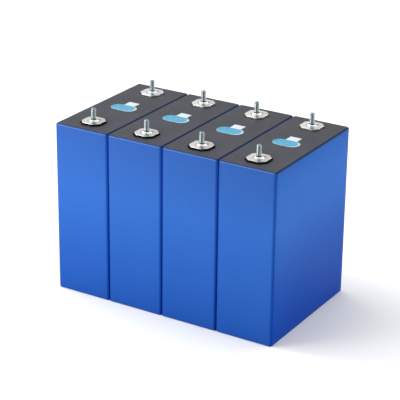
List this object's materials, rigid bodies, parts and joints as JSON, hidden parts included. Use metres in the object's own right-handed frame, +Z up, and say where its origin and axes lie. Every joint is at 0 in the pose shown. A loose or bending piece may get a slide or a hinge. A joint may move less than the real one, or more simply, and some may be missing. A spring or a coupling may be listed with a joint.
{
  "type": "prismatic battery cell row",
  "caption": "Matched row of loose prismatic lithium iron phosphate cells, each an aluminium can in a blue sleeve with two studded octagonal terminals and a vent",
  "frame": {"origin": "on the floor, at the middle of the row", "axes": "+Z up through the studs; +X along the row from cell 1 to cell 4, through the cells' large faces; -Y towards the narrow faces beside the negative terminals"},
  "size_m": [0.2894, 0.174, 0.2246],
  "materials": {
    "sleeve_blue": "semi-gloss blue polyester shrink film",
    "case_aluminium": "drawn and rolled aluminium, satin",
    "board_grey": "matte dark grey insulating board, fine grain",
    "vent_film_blue": "light blue protective film, glossy",
    "terminal_aluminium": "bright machined aluminium, laser cleaned",
    "stud_steel": "zinc plated steel thread",
    "insulator_black": "moulded black plastic",
    "insulator_brown": "moulded dark brown plastic",
    "frame_plastic": "natural white moulded plastic",
    "collector_copper": "copper strip, bare",
    "collector_aluminium": "aluminium strip, bare",
    "stack_wrap": null
  },
  "bodies": {
    "cell_1": {"cell_1_sleeve": "sleeve_blue", "cell_1_can": "case_aluminium", "cell_1_lid": "case_aluminium", "cell_1_top_board": "board_grey", "cell_1_vent_film": "vent_film_blue", "cell_1_negative_terminal": "terminal_aluminium", "cell_1_positive_terminal": "terminal_aluminium", "cell_1_negative_stud": "stud_steel", "cell_1_positive_stud": "stud_steel", "cell_1_negative_insulator": "insulator_black", "cell_1_positive_insulator": "insulator_brown", "cell_1_inner_frame": "frame_plastic", "cell_1_negative_collector": "collector_copper", "cell_1_positive_collector": "collector_aluminium", "cell_1_electrode_stack": "stack_wrap"},
    "cell_2": {"cell_2_sleeve": "sleeve_blue", "cell_2_can": "case_aluminium", "cell_2_lid": "case_aluminium", "cell_2_top_board": "board_grey", "cell_2_vent_film": "vent_film_blue", "cell_2_negative_terminal": "terminal_aluminium", "cell_2_positive_terminal": "terminal_aluminium", "cell_2_negative_stud": "stud_steel", "cell_2_positive_stud": "stud_steel", "cell_2_negative_insulator": "insulator_black", "cell_2_positive_insulator": "insulator_brown", "cell_2_inner_frame": "frame_plastic", "cell_2_negative_collector": "collector_copper", "cell_2_positive_collector": "collector_aluminium", "cell_2_electrode_stack": "stack_wrap"},
    "cell_3": {"cell_3_sleeve": "sleeve_blue", "cell_3_can": "case_aluminium", "cell_3_lid": "case_aluminium", "cell_3_top_board": "board_grey", "cell_3_vent_film": "vent_film_blue", "cell_3_negative_terminal": "terminal_aluminium", "cell_3_positive_terminal": "terminal_aluminium", "cell_3_negative_stud": "stud_steel", "cell_3_positive_stud": "stud_steel", "cell_3_negative_insulator": "insulator_black", "cell_3_positive_insulator": "insulator_brown", "cell_3_inner_frame": "frame_plastic", "cell_3_negative_collector": "collector_copper", "cell_3_positive_collector": "collector_aluminium", "cell_3_electrode_stack": "stack_wrap"},
    "cell_4": {"cell_4_sleeve": "sleeve_blue", "cell_4_can": "case_aluminium", "cell_4_lid": "case_aluminium", "cell_4_top_board": "board_grey", "cell_4_vent_film": "vent_film_blue", "cell_4_negative_terminal": "terminal_aluminium", "cell_4_positive_terminal": "terminal_aluminium", "cell_4_negative_stud": "stud_steel", "cell_4_positive_stud": "stud_steel", "cell_4_negative_insulator": "insulator_black", "cell_4_positive_insulator": "insulator_brown", "cell_4_inner_frame": "frame_plastic", "cell_4_negative_collector": "collector_copper", "cell_4_positive_collector": "collector_aluminium", "cell_4_electrode_stack": "stack_wrap"}
  },
  "joints": [
    {"name": "cell_2_lift", "type": "slide", "parent": "cell_1", "child": "cell_2", "axis": [0, 0, 1], "range_m": [0, 0.24]},
    {"name": "cell_3_lift", "type": "slide", "parent": "cell_1", "child": "cell_3", "axis": [0, 0, 1], "range_m": [0, 0.24]},
    {"name": "cell_4_lift", "type": "slide", "parent": "cell_1", "child": "cell_4", "axis": [0, 0, 1], "range_m": [0, 0.24]}
  ]
}
